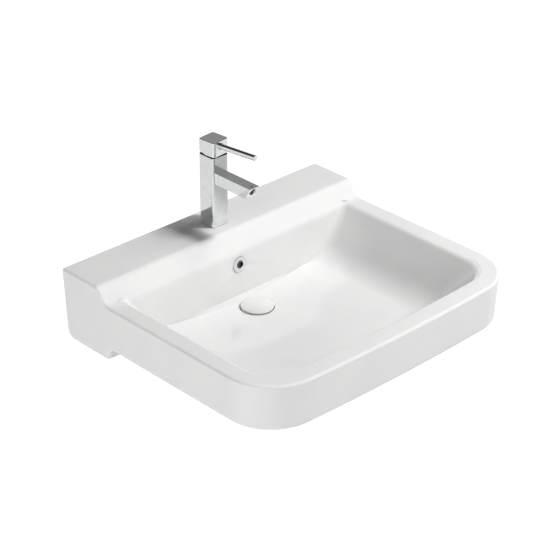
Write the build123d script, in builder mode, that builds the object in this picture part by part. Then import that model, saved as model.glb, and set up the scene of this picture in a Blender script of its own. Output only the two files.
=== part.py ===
"""Wall-hung basin with a square single-lever mixer and a push-open waste.

Millimetres, +Z up, front towards -Y. The origin is on the wall, midway
between the two wall-fixing holes.
"""
import os
from math import asin, cos, radians, sin, tan

from build123d import *

os.makedirs("parts", exist_ok=True)

# Basin: overall sizes
BASIN_WIDTH = 600.0
BASIN_DEPTH = 515.0
FRONT_BOW = 9.4
FRONT_CORNER_R = 94.5
WALL_DRAFT = 2.7
RIM_Z = 40.0
LEDGE_RISE = 28.6
LEDGE_DEPTH = 97.0
LEDGE_SLOPE = 31.0
LEDGE_EDGE_R = 14.0
LEDGE_FOOT_R = 20.0
APRON_DROP = 87.0
BOX_DROP = 111.0
BOX_DEPTH = 108.0
NOTCH_R = 16.0
OUTER_EDGE_R = 5.0
APRON_EDGE_R = 9.0
BOX_CORNER_R = 20.0
CERAMIC_WALL = 12.0
LEDGE_THICKNESS = 14.0
DIVIDER_WALL = 14.0
HOLLOW_CORNER_R = 12.0

# Bowl
OPENING_WIDTH = 530.0
RIM_FRONT_WIDTH = 37.0
OPENING_FRONT_R = 60.0
OPENING_REAR_R = 12.0
CORNER_GAIN = 0.2
RIM_INNER_R = 12.0
BOWL_WALL_ANGLE = 33.4
BOWL_BLEND_R = 60.0
FLOOR_DEPTH = 88.0
FLOOR_FALL = 4.5
REAR_WALL_LEAN = 3.2
REAR_BEND_R = 30.0
DRAIN_DEPTH = 97.5

# Holes in the ceramic
WALL_HOLE_SPACING = 280.0
WALL_HOLE_R = 7.0
TAP_Y = -54.5
TAP_HOLE_R = 17.5
DRAIN_Y = -165.0
DRAIN_HOLE_R = 23.0
DRAIN_BOSS_R = 40.0
DRAIN_BOSS_DROP = 130.0
OVERFLOW_DROP = 30.0
OVERFLOW_HOLE_R = 11.0
DUCT_WIDTH = 44.0
DUCT_WALL = 7.0
DUCT_GAP = 11.0

# Waste
FLANGE_R = 29.0
FLANGE_THICKNESS = 2.4
WASTE_TUBE_R = 20.95
WASTE_BORE_R = 17.5
WASTE_NECK = 48.0
TRAP_THREAD = 34.0
THREAD_RELIEF = 0.35
SEAT_R = 30.4
SEAT_DEPTH = 4.4
SEAL_THICKNESS = 2.0
CAP_R = 29.6
CAP_EDGE = 2.4
CAP_DOME = 3.8
CAP_GAP = 1.0
PLUG_TRAVEL = 8.0

# Tap
TAP_SIDE = 37.4
TAP_CORNER_R = 5.0
BODY_HEIGHT = 134.4
SEAM_GAP = 2.2
HANDLE_HEIGHT = 26.8
HANDLE_REST_TURN = 5.5
HANDLE_RELIEF = 4.8
SPOUT_WIDTH = 22.5
SPOUT_HEIGHT = 21.0
SPOUT_TOP = 104.4
SPOUT_REACH = 104.0
SPOUT_END_ANGLE = 26.0
LEVER_R = 5.1
LEVER_REACH = 97.0
LEVER_RISE = 1.7
LEVER_HEIGHT = 152.2
INLET_R = 4.46
INLET_DEPTH = 12.0
INLET_SPACING = 18.0
PORT_SPACING = 16.0
PORT_MARGIN = 4.5
STUD_R = 4.0

# Overflow ring
OVERFLOW_RING_R = 14.5
OVERFLOW_RING_THICKNESS = 2.0
OVERFLOW_BORE_R = 7.3

# Clearances
SLIP = 0.1
RUNNING = 0.3
SEATED = 0.15

# Places worked out from the sizes above
HALF_WIDTH = BASIN_WIDTH / 2
LEDGE_Z = RIM_Z + LEDGE_RISE
APRON_Z = RIM_Z - APRON_DROP
BOX_Z = RIM_Z - BOX_DROP
LEDGE_FOOT = LEDGE_DEPTH + LEDGE_RISE * tan(radians(LEDGE_SLOPE))
DRAFT_SLOPE = tan(radians(WALL_DRAFT))
LEDGE_FLARE = LEDGE_RISE * DRAFT_SLOPE
OPENING_HALF = OPENING_WIDTH / 2
OPENING_FRONT = BASIN_DEPTH - RIM_FRONT_WIDTH
OPENING_BOW = FRONT_BOW * (OPENING_HALF / HALF_WIDTH) ** 2
DRAIN_Z = RIM_Z - DRAIN_DEPTH
BOSS_Z = RIM_Z - DRAIN_BOSS_DROP
BEHIND_WALL = 20.0
FIT = 0.01


def plan_outline(half_width, back, front, bow, front_r, rear_r=0.0):
    """Flat outline with a straight back and a bowed front between round corners."""
    with BuildSketch() as outline:
        with BuildLine():
            Polyline(
                (half_width, front + bow),
                (half_width, back),
                (-half_width, back),
                (-half_width, front + bow),
            )
            ThreePointArc((-half_width, front + bow), (0, front), (half_width, front + bow))
        make_face()
        fillet(outline.vertices().group_by(Axis.Y)[0], front_r)
        if rear_r:
            fillet(outline.vertices().group_by(Axis.Y)[-1], rear_r)
    return outline.sketch


def rear_wall_y(depth):
    """Where the bowl's rear wall stands at a depth below the rim."""
    if depth <= BEND_START:
        return -LEDGE_FOOT - depth * tan(radians(LEDGE_SLOPE))
    if depth < BEND_END:
        lean = asin(sin(radians(LEDGE_SLOPE)) - (depth - BEND_START) / REAR_BEND_R)
        return rear_wall_y(BEND_START) - REAR_BEND_R * (cos(lean) - cos(radians(LEDGE_SLOPE)))
    bend_out = REAR_BEND_R * (cos(radians(REAR_WALL_LEAN)) - cos(radians(LEDGE_SLOPE)))
    wall_out = (depth - BEND_END) * tan(radians(REAR_WALL_LEAN))
    return rear_wall_y(BEND_START) - bend_out - wall_out


def bowl_section(depth, inset, grow=0.0):
    """The bowl's outline at a depth, drawn in from the opening by inset."""
    draw_in = inset - grow
    return plan_outline(
        OPENING_HALF - draw_in,
        rear_wall_y(depth) + grow,
        -OPENING_FRONT + draw_in,
        OPENING_BOW,
        OPENING_FRONT_R + CORNER_GAIN * inset,
        OPENING_REAR_R + CORNER_GAIN * inset + grow,
    )


LIP_START = 76.0
LIP_OVERRUN = 1.5
LIP_ANGLES = (LIP_START, 65.0, 54.0, 43.0, BOWL_WALL_ANGLE)
BLEND_ANGLES = (BOWL_WALL_ANGLE, 42.0, 50.0, 58.0, 66.0, 74.0, 80.0, 90.0 - FLOOR_FALL)
BEND_START = RIM_INNER_R * (1 - sin(radians(LIP_START)))
BEND_DROP = REAR_BEND_R * (sin(radians(LEDGE_SLOPE)) - sin(radians(REAR_WALL_LEAN)))
BEND_END = BEND_START + BEND_DROP
BEND_DEPTHS = [BEND_START + BEND_DROP * step for step in (0.45, 0.6, 0.8, 1.0)]
WALL_SLOPE = tan(radians(BOWL_WALL_ANGLE))
BLEND_DEPTH = FLOOR_DEPTH - BOWL_BLEND_R * cos(radians(FLOOR_FALL))
BLEND_INSET = (
    WALL_SLOPE * (BLEND_DEPTH + BOWL_BLEND_R * sin(radians(BOWL_WALL_ANGLE)))
    + BOWL_BLEND_R * cos(radians(BOWL_WALL_ANGLE))
)
LIP_INSET = (
    WALL_SLOPE * RIM_INNER_R * (1 - sin(radians(BOWL_WALL_ANGLE)))
    - RIM_INNER_R * cos(radians(BOWL_WALL_ANGLE))
)


def lip_point(angle):
    """Depth and inset on the rounded inner edge of the rim."""
    a = radians(angle)
    return RIM_INNER_R * (1 - sin(a)), LIP_INSET + RIM_INNER_R * cos(a)


def blend_point(angle):
    """Depth and inset on the soft turn between the bowl's wall and floor."""
    a = radians(angle)
    return BLEND_DEPTH + BOWL_BLEND_R * sin(a), BLEND_INSET - BOWL_BLEND_R * cos(a)


def side_wall_point(depth):
    """Depth and inset on the straight slope between the lip and the blend."""
    lip_depth, lip_inset = lip_point(BOWL_WALL_ANGLE)
    return depth, lip_inset + (depth - lip_depth) * WALL_SLOPE


def outside_edges(edges):
    """Edges that run round the basin's two sides and front, clear of the wall."""
    sides = HALF_WIDTH - (RIM_Z - BOX_Z) * DRAFT_SLOPE - 1
    return [
        edge
        for edge in edges
        if edge.center().Y < -BOX_CORNER_R * 0.9
        and (abs(edge.center().X) > sides or edge.center().Y < -BASIN_DEPTH + FRONT_CORNER_R)
    ]


# Basin body: the tapered block, its ledge and the space under the apron
with BuildPart() as block:
    with BuildSketch(Plane.XY.offset(LEDGE_Z)):
        add(
            plan_outline(
                HALF_WIDTH + LEDGE_FLARE,
                BEHIND_WALL,
                -BASIN_DEPTH - LEDGE_FLARE,
                FRONT_BOW,
                FRONT_CORNER_R + LEDGE_FLARE,
            )
        )
    extrude(amount=-LEDGE_RISE - BOX_DROP, taper=WALL_DRAFT)
    with BuildSketch(Plane.YZ):
        with BuildLine():
            Polyline(
                (-LEDGE_DEPTH, LEDGE_Z),
                (-LEDGE_FOOT, RIM_Z),
                (-BASIN_DEPTH - BEHIND_WALL, RIM_Z),
                (-BASIN_DEPTH - BEHIND_WALL, LEDGE_Z),
                close=True,
            )
        make_face()
    extrude(amount=BASIN_WIDTH, both=True, mode=Mode.SUBTRACT)
    with BuildSketch(Plane.YZ) as under_apron:
        with BuildLine():
            Polyline(
                (-BASIN_DEPTH - BEHIND_WALL, APRON_Z),
                (-BOX_DEPTH - NOTCH_R / 2, APRON_Z),
                (-BOX_DEPTH, BOX_Z - BEHIND_WALL),
                (-BASIN_DEPTH - BEHIND_WALL, BOX_Z - BEHIND_WALL),
                close=True,
            )
        make_face()
        fillet(under_apron.vertices().group_by(Axis.Y)[-1].sort_by(Axis.X)[-1], NOTCH_R)
    extrude(amount=BASIN_WIDTH, both=True, mode=Mode.SUBTRACT)
    split(bisect_by=Plane.XZ, keep=Keep.TOP)

    ledge_foot = block.edges().filter_by(Axis.X).sort_by_distance((0, -LEDGE_FOOT, RIM_Z))[0]
    fillet(ledge_foot, LEDGE_FOOT_R)
    ledge_edge = block.edges().filter_by(Axis.X).sort_by_distance((0, -LEDGE_DEPTH, LEDGE_Z))[0]
    fillet(ledge_edge, LEDGE_EDGE_R)
    box_back_edge = block.edges().filter_by(Axis.X).sort_by_distance((0, 0, BOX_Z))[0]
    box_front_edge = block.edges().filter_by(Axis.X).sort_by_distance((0, -BOX_DEPTH, BOX_Z))[0]
    fillet(box_back_edge, BOX_CORNER_R)
    fillet(box_front_edge, APRON_EDGE_R)
    top_edges = block.edges().filter_by_position(Axis.Z, RIM_Z - FIT, LEDGE_Z + FIT)
    fillet(outside_edges(top_edges), OUTER_EDGE_R)
    low_edges = block.edges().filter_by_position(Axis.Z, BOX_Z - FIT, APRON_Z + FIT)
    fillet(outside_edges(low_edges), APRON_EDGE_R)


# The bowl's clay: outside form, then the hollow of the bowl itself
with BuildPart() as bowl_outside:
    for depth, inset in ((CERAMIC_WALL, LIP_INSET + RIM_INNER_R), blend_point(BOWL_WALL_ANGLE)):
        with BuildSketch(Plane.XY.offset(RIM_Z - depth)):
            add(bowl_section(depth, inset, CERAMIC_WALL))
    with BuildSketch(Plane.XY.offset(RIM_Z - DRAIN_DEPTH - CERAMIC_WALL)):
        add(bowl_section(DRAIN_DEPTH, blend_point(70)[1], CERAMIC_WALL))
    loft(ruled=True)

EDGE_DEPTH, EDGE_INSET = lip_point(LIP_START)
EDGE_SPREAD = tan(radians(LIP_START))
WALL_SECTIONS = (
    [(-LIP_OVERRUN, EDGE_INSET - (EDGE_DEPTH + LIP_OVERRUN) * EDGE_SPREAD)]
    + [lip_point(angle) for angle in LIP_ANGLES]
    + [side_wall_point(depth) for depth in BEND_DEPTHS]
    + [blend_point(angle) for angle in BLEND_ANGLES]
)
with BuildPart() as bowl_walls:
    for depth, inset in WALL_SECTIONS:
        with BuildSketch(Plane.XY.offset(RIM_Z - depth)):
            add(bowl_section(depth, inset))
    loft(ruled=True)

with BuildPart() as bowl_floor:
    with BuildSketch(Plane.XY.offset(RIM_Z - FLOOR_DEPTH)):
        add(bowl_section(FLOOR_DEPTH, blend_point(90 - FLOOR_FALL)[1]))
    with BuildSketch(Plane.XY.offset(DRAIN_Z)):
        with Locations((0, DRAIN_Y)):
            RectangleRounded(2 * SEAT_R, 2 * SEAT_R, SEAT_R - 2)
    loft(ruled=True)

with BuildPart() as bowl_lip:
    rim_inset = EDGE_INSET - EDGE_DEPTH * EDGE_SPREAD
    for rise in (-1.0, LEDGE_FOOT_R):
        with BuildSketch(Plane.XY.offset(RIM_Z + rise)):
            add(
                plan_outline(
                    OPENING_HALF - rim_inset + rise,
                    -LEDGE_FOOT + rise * tan(radians(LEDGE_SLOPE)),
                    -OPENING_FRONT + rim_inset + 2,
                    OPENING_BOW,
                    OPENING_FRONT_R,
                    OPENING_REAR_R + rise,
                )
            )
    loft(ruled=True)

with BuildPart() as under_hollow:
    with BuildSketch(Plane.XY.offset(RIM_Z - CERAMIC_WALL)):
        add(
            plan_outline(
                HALF_WIDTH - CERAMIC_WALL,
                -BOX_DEPTH - NOTCH_R,
                -BASIN_DEPTH + CERAMIC_WALL,
                FRONT_BOW,
                FRONT_CORNER_R - CERAMIC_WALL,
            )
        )
    extrude(amount=-APRON_DROP, taper=WALL_DRAFT)
    add(bowl_outside.part, mode=Mode.SUBTRACT)

with BuildPart() as box_hollow:
    for base_z, depth, height in (
        (BOX_Z, BOX_DEPTH - DIVIDER_WALL, RIM_Z - BOX_Z),
        (RIM_Z - CERAMIC_WALL, LEDGE_DEPTH - DIVIDER_WALL, LEDGE_RISE - LEDGE_THICKNESS + CERAMIC_WALL),
    ):
        with BuildSketch(Plane.XY.offset(base_z)):
            with Locations((0, -(depth + CERAMIC_WALL) / 2)):
                RectangleRounded(BASIN_WIDTH - 4 * CERAMIC_WALL, depth - CERAMIC_WALL, HOLLOW_CORNER_R)
        extrude(amount=height)


WALL_NORMAL = Vector(0, -cos(radians(REAR_WALL_LEAN)), sin(radians(REAR_WALL_LEAN)))
OVERFLOW_PLANE = Plane(
    origin=(0, rear_wall_y(OVERFLOW_DROP), RIM_Z - OVERFLOW_DROP),
    x_dir=(1, 0, 0),
    z_dir=WALL_NORMAL,
)
DUCT_FRONT = rear_wall_y(OVERFLOW_DROP) + CERAMIC_WALL - 1
DUCT_BACK = DUCT_FRONT + DUCT_GAP
DUCT_FLOOR = BOSS_Z + DUCT_WALL
DUCT_TOP = RIM_Z - OVERFLOW_DROP + OVERFLOW_HOLE_R + 2

# Overflow duct: its clay and the water's way through it
with BuildPart() as duct_clay:
    with BuildSketch(Plane.YZ):
        with BuildLine():
            Polyline(
                (DRAIN_Y, BOSS_Z),
                (DUCT_BACK + DUCT_WALL, BOSS_Z),
                (DUCT_BACK + DUCT_WALL, DUCT_TOP + DUCT_WALL),
                (DUCT_FRONT, DUCT_TOP + DUCT_WALL),
                (DUCT_FRONT, DRAIN_Z - CERAMIC_WALL),
                (DRAIN_Y, DRAIN_Z - CERAMIC_WALL),
                close=True,
            )
        make_face()
    extrude(amount=DUCT_WIDTH / 2 + DUCT_WALL, both=True)
    with BuildSketch(Plane.XY.offset(BOSS_Z)):
        with Locations((0, DRAIN_Y)):
            Circle(DRAIN_BOSS_R)
    extrude(amount=DRAIN_Z - BOSS_Z - SEAT_DEPTH)

with BuildPart() as duct_water:
    with BuildSketch(Plane.YZ):
        with BuildLine():
            Polyline(
                (DRAIN_Y, DUCT_FLOOR),
                (DUCT_BACK, DUCT_FLOOR),
                (DUCT_BACK, DUCT_TOP),
                (DUCT_FRONT, DUCT_TOP),
                (DUCT_FRONT, DUCT_FLOOR + DUCT_GAP),
                (DRAIN_Y, DUCT_FLOOR + DUCT_GAP),
                close=True,
            )
        make_face()
    extrude(amount=DUCT_WIDTH / 2, both=True)
    with BuildSketch(OVERFLOW_PLANE.offset(CERAMIC_WALL)):
        Circle(OVERFLOW_HOLE_R)
    extrude(amount=-CERAMIC_WALL - DUCT_GAP)

# Basin body
with BuildPart() as basin_body:
    add(block.part)
    add(bowl_outside.part)
    add(under_hollow.part, mode=Mode.SUBTRACT)
    add(box_hollow.part, mode=Mode.SUBTRACT)
    add(duct_clay.part)
    add(bowl_walls.part, mode=Mode.SUBTRACT)
    add(bowl_floor.part, mode=Mode.SUBTRACT)
    add(bowl_lip.part, mode=Mode.SUBTRACT)
    add(duct_water.part, mode=Mode.SUBTRACT)
    with BuildSketch(Plane.XY.offset(DRAIN_Z)):
        with Locations((0, DRAIN_Y)):
            Circle(SEAT_R)
    extrude(amount=-SEAT_DEPTH, mode=Mode.SUBTRACT)
    with BuildSketch(Plane.XY.offset(DRAIN_Z)):
        with Locations((0, DRAIN_Y)):
            Circle(DRAIN_HOLE_R)
    extrude(amount=BOSS_Z - DRAIN_Z, mode=Mode.SUBTRACT)
    with BuildSketch(Plane.XY.offset(LEDGE_Z)):
        with Locations((0, TAP_Y)):
            Circle(TAP_HOLE_R)
    extrude(amount=-LEDGE_THICKNESS * 2, mode=Mode.SUBTRACT)
    with BuildSketch(Plane.XZ):
        with GridLocations(WALL_HOLE_SPACING, 0, 2, 1):
            Circle(WALL_HOLE_R)
    extrude(amount=CERAMIC_WALL * 2, mode=Mode.SUBTRACT)
basin_body.part.label = "basin_body"
export_step(basin_body.part, "parts/basin_body.step")


def ring(label, plane, outer_r, inner_r, thickness):
    """A flat ring standing on a plane, written as its own piece."""
    with BuildPart() as piece:
        with BuildSketch(plane):
            Circle(outer_r)
            Circle(inner_r, mode=Mode.SUBTRACT)
        extrude(amount=thickness)
    piece.part.label = label
    export_step(piece.part, f"parts/{label}.step")
    return piece.part


def level(x, y, z):
    """A level plane through a point."""
    return Plane(origin=(x, y, z), x_dir=(1, 0, 0), z_dir=(0, 0, 1))


# Overflow ring, pushed into the hole in the bowl's rear wall
with BuildPart() as overflow_ring:
    with BuildSketch(OVERFLOW_PLANE.offset(SEATED)):
        Circle(OVERFLOW_RING_R)
    extrude(amount=OVERFLOW_RING_THICKNESS)
    outer_edge = overflow_ring.edges().group_by(Axis.Y)[0]
    fillet(outer_edge, OVERFLOW_RING_THICKNESS * 0.45)
    with BuildSketch(OVERFLOW_PLANE.offset(SEATED)):
        Circle(OVERFLOW_HOLE_R - SLIP)
    extrude(amount=-CERAMIC_WALL * 0.7)
    with BuildSketch(OVERFLOW_PLANE.offset(SEATED + OVERFLOW_RING_THICKNESS)):
        Circle(OVERFLOW_BORE_R)
    extrude(amount=-CERAMIC_WALL * 1.5, mode=Mode.SUBTRACT)
overflow_ring.part.label = "overflow_ring"
export_step(overflow_ring.part, "parts/overflow_ring.step")

# Waste: flange, slotted tube and the cross that carries the click mechanism
SEAT_Z = DRAIN_Z - SEAT_DEPTH
FLANGE_Z = SEAT_Z + SEAL_THICKNESS
FLANGE_TOP = FLANGE_Z + FLANGE_THICKNESS
FLANGE_MOUTH_R = 21.6
CONE_DROP = FLANGE_MOUTH_R - WASTE_BORE_R
CROSS_TOP = DUCT_FLOOR + 4.0
CROSS_THICKNESS = 5.0
CROSS_BAR = 4.0
HUB_R = 7.0
CLICK_STUD_R = 4.0
SLOT_WIDTH = 11.0
SLOT_HEIGHT = 9.0
LOWER_SEAL_THICKNESS = 6.0
SLIP_RING_THICKNESS = 1.5
BACKNUT_THICKNESS = 9.0
BACKNUT_FLATS = 56.0
LOWER_SEAL_R = 32.0
LOWER_SEAL_Z = BOSS_Z - LOWER_SEAL_THICKNESS
SLIP_RING_Z = LOWER_SEAL_Z - SLIP_RING_THICKNESS
BACKNUT_Z = SLIP_RING_Z - BACKNUT_THICKNESS

with BuildPart() as waste_body:
    with BuildSketch(level(0, DRAIN_Y, FLANGE_Z)):
        Circle(FLANGE_R)
    extrude(amount=FLANGE_THICKNESS)
    fillet(waste_body.edges().group_by(Axis.Z)[-1], FLANGE_THICKNESS * 0.5)
    with BuildSketch(level(0, DRAIN_Y, FLANGE_Z)):
        Circle(WASTE_TUBE_R - THREAD_RELIEF)
    extrude(amount=-WASTE_NECK)
    with BuildSketch(level(0, DRAIN_Y, FLANGE_Z - WASTE_NECK)):
        Circle(WASTE_TUBE_R)
    extrude(amount=-TRAP_THREAD)
    with BuildSketch(level(0, DRAIN_Y, FLANGE_TOP)):
        Circle(WASTE_BORE_R)
    extrude(amount=-WASTE_NECK - TRAP_THREAD - FLANGE_THICKNESS, mode=Mode.SUBTRACT)
    with BuildSketch(level(0, DRAIN_Y, FLANGE_TOP)):
        Circle(FLANGE_MOUTH_R)
    extrude(amount=-CONE_DROP, taper=45, mode=Mode.SUBTRACT)
    for turn in (45, 135):
        slot_plane = Plane(
            origin=(0, DRAIN_Y, DUCT_FLOOR + SLOT_HEIGHT / 2),
            x_dir=(0, 0, 1),
            z_dir=(cos(radians(turn)), sin(radians(turn)), 0),
        )
        with BuildSketch(slot_plane):
            Rectangle(SLOT_HEIGHT, SLOT_WIDTH)
        extrude(amount=WASTE_TUBE_R + 1, both=True, mode=Mode.SUBTRACT)
    with BuildSketch(level(0, DRAIN_Y, CROSS_TOP)):
        Circle(HUB_R)
        Rectangle(2 * WASTE_BORE_R + 1, CROSS_BAR)
        Rectangle(CROSS_BAR, 2 * WASTE_BORE_R + 1)
        Circle(CLICK_STUD_R + SLIP, mode=Mode.SUBTRACT)
    extrude(amount=-CROSS_THICKNESS)
waste_body.part.label = "waste_body"
export_step(waste_body.part, "parts/waste_body.step")

ring("waste_upper_seal", level(0, DRAIN_Y, SEAT_Z), FLANGE_R - 1, WASTE_TUBE_R + SLIP, SEAL_THICKNESS)
ring(
    "waste_lower_seal",
    level(0, DRAIN_Y, LOWER_SEAL_Z),
    LOWER_SEAL_R,
    WASTE_TUBE_R + SLIP,
    LOWER_SEAL_THICKNESS,
)
ring(
    "waste_slip_ring",
    level(0, DRAIN_Y, SLIP_RING_Z),
    LOWER_SEAL_R,
    WASTE_TUBE_R + SLIP,
    SLIP_RING_THICKNESS,
)

with BuildPart() as waste_backnut:
    with BuildSketch(level(0, DRAIN_Y, BACKNUT_Z)):
        RegularPolygon(BACKNUT_FLATS / 2, 6, major_radius=False)
        Circle(WASTE_TUBE_R + SLIP, mode=Mode.SUBTRACT)
    extrude(amount=BACKNUT_THICKNESS)
waste_backnut.part.label = "waste_backnut"
export_step(waste_backnut.part, "parts/waste_backnut.step")

# Plug: ceramic cap, its carrier, rubber ring and plunger
CAP_Z = FLANGE_TOP + CAP_GAP
CARRIER_R = 19.8
CARRIER_THICKNESS = 2.0
PLUG_SEAL_R = 16.2
PLUG_SEAL_SECTION = 1.6
PLUG_SEAL_Z = CAP_Z - CARRIER_THICKNESS - PLUG_SEAL_SECTION - SLIP
CARRIER_CORE_R = PLUG_SEAL_R - PLUG_SEAL_SECTION - SLIP
CARRIER_FOOT_Z = PLUG_SEAL_Z - PLUG_SEAL_SECTION - SLIP
PLUNGER_R = 3.0
CLICK_HOUSING_R = 6.5
CLICK_BORE_R = PLUNGER_R + 1.2
CLICK_TOP = CARRIER_FOOT_Z - 2.0
SPRING_LENGTH = 8.0
SPRING_WIRE_R = 0.5
SPRING_COIL_R = CLICK_BORE_R - SPRING_WIRE_R - 0.2
CLICK_FLOOR = CROSS_TOP + 1.5
PLUNGER_FOOT = CLICK_FLOOR + SPRING_LENGTH + SLIP

with BuildPart() as plug_cap:
    with BuildSketch(level(0, DRAIN_Y, CAP_Z)):
        Circle(CAP_R)
    extrude(amount=CAP_EDGE)
    dome_r = (CAP_R**2 + CAP_DOME**2) / (2 * CAP_DOME)
    with BuildSketch(Plane(origin=(0, DRAIN_Y, CAP_Z + CAP_EDGE), x_dir=(1, 0, 0), z_dir=(0, -1, 0))):
        with BuildLine():
            Polyline((0, CAP_DOME), (0, 0), (CAP_R, 0))
            RadiusArc((CAP_R, 0), (0, CAP_DOME), -dome_r)
        make_face()
    revolve(axis=Axis((0, DRAIN_Y, 0), (0, 0, 1)))
    fillet(plug_cap.edges().group_by(Axis.Z)[0], CAP_EDGE * 0.3)
plug_cap.part.label = "plug_cap"
export_step(plug_cap.part, "parts/plug_cap.step")

with BuildPart() as plug_carrier:
    with BuildSketch(level(0, DRAIN_Y, CAP_Z)):
        Circle(CARRIER_R)
    extrude(amount=-CARRIER_THICKNESS)
    with BuildSketch(level(0, DRAIN_Y, CAP_Z - CARRIER_THICKNESS)):
        Circle(CARRIER_CORE_R)
    extrude(amount=CARRIER_FOOT_Z - CAP_Z + CARRIER_THICKNESS)
plug_carrier.part.label = "plug_carrier"
export_step(plug_carrier.part, "parts/plug_carrier.step")

with BuildPart() as plug_seal:
    with BuildSketch(Plane(origin=(0, DRAIN_Y, PLUG_SEAL_Z), x_dir=(1, 0, 0), z_dir=(0, -1, 0))):
        with Locations((PLUG_SEAL_R, 0)):
            Circle(PLUG_SEAL_SECTION)
    revolve(axis=Axis((0, DRAIN_Y, 0), (0, 0, 1)))
plug_seal.part.label = "plug_seal"
export_step(plug_seal.part, "parts/plug_seal.step")

with BuildPart() as plug_plunger:
    with BuildSketch(level(0, DRAIN_Y, CARRIER_FOOT_Z)):
        Circle(PLUNGER_R)
    extrude(amount=PLUNGER_FOOT - CARRIER_FOOT_Z)
plug_plunger.part.label = "plug_plunger"
export_step(plug_plunger.part, "parts/plug_plunger.step")

with BuildPart() as click_housing:
    with BuildSketch(level(0, DRAIN_Y, CROSS_TOP)):
        Circle(CLICK_HOUSING_R)
    extrude(amount=CLICK_TOP - CROSS_TOP)
    with BuildSketch(level(0, DRAIN_Y, CROSS_TOP)):
        Circle(CLICK_STUD_R)
    extrude(amount=-CROSS_THICKNESS)
    with BuildSketch(level(0, DRAIN_Y, CLICK_TOP)):
        Circle(CLICK_BORE_R)
    extrude(amount=CLICK_FLOOR - CLICK_TOP, mode=Mode.SUBTRACT)
click_housing.part.label = "click_housing"
export_step(click_housing.part, "parts/click_housing.step")

SPRING_PITCH = 2.0
with BuildPart() as click_spring:
    spring_base = CLICK_FLOOR + SPRING_WIRE_R + SLIP
    with BuildLine() as coil:
        Helix(
            pitch=SPRING_PITCH,
            height=SPRING_LENGTH - 2 * SPRING_WIRE_R - SLIP,
            radius=SPRING_COIL_R,
            center=(0, DRAIN_Y, spring_base),
        )
    with BuildSketch(Plane(origin=coil.line @ 0, z_dir=coil.line % 0)):
        Circle(SPRING_WIRE_R)
    sweep()
click_spring.part.label = "click_spring"
export_step(click_spring.part, "parts/click_spring.step")

# Tap: heights and planes
BASE_GASKET = 1.0
BASE_Z = LEDGE_Z + BASE_GASKET
BODY_TOP = LEDGE_Z + BODY_HEIGHT
SPOUT_TOP_Z = LEDGE_Z + SPOUT_TOP
SPOUT_BOTTOM_Z = SPOUT_TOP_Z - SPOUT_HEIGHT
SPOUT_MIDDLE_Z = SPOUT_TOP_Z - SPOUT_HEIGHT / 2
SPOUT_TIP_Y = TAP_Y - SPOUT_REACH
END_SLOPE = tan(radians(SPOUT_END_ANGLE))
AERATOR_R = 8.0
AERATOR_DEPTH = 5.0
AERATOR_PROUD = 0.8
AERATOR_SHIFT = 2.5
AERATOR_WALL = 1.5
AERATOR_SEAL = 0.8
WATERWAY_R = 4.5
CHANNEL_R = 2.5
SUPPLY_R = INLET_R - THREAD_RELIEF
PORT_FLOOR = 4.0
OUTLET_Y = TAP_Y - 7.0
INLET_Y = TAP_Y + 3.0
STUD_Y = TAP_Y - 9.0
STUD_SOCKET = 12.0
CARTRIDGE_R = PORT_SPACING / 2 + PORT_MARGIN
POCKET_DEPTH = 32.0
POCKET_Z = BODY_TOP - POCKET_DEPTH
NUT_OVERHANG = 1.7
NUT_R = CARTRIDGE_R + NUT_OVERHANG
NUT_BORE_R = 9.5
NUT_THICKNESS = 4.5
NUT_POCKET = 6.0

SPOUT_END_PLANE = Plane(
    origin=(0, SPOUT_TIP_Y + SPOUT_HEIGHT / 2 * END_SLOPE, SPOUT_MIDDLE_Z),
    x_dir=(1, 0, 0),
    z_dir=(0, -cos(radians(SPOUT_END_ANGLE)), -sin(radians(SPOUT_END_ANGLE))),
)
AERATOR_PLANE = SPOUT_END_PLANE.move(
    Location(
        (
            0,
            AERATOR_SHIFT * sin(radians(SPOUT_END_ANGLE)),
            -AERATOR_SHIFT * cos(radians(SPOUT_END_ANGLE)),
        )
    )
)

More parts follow.
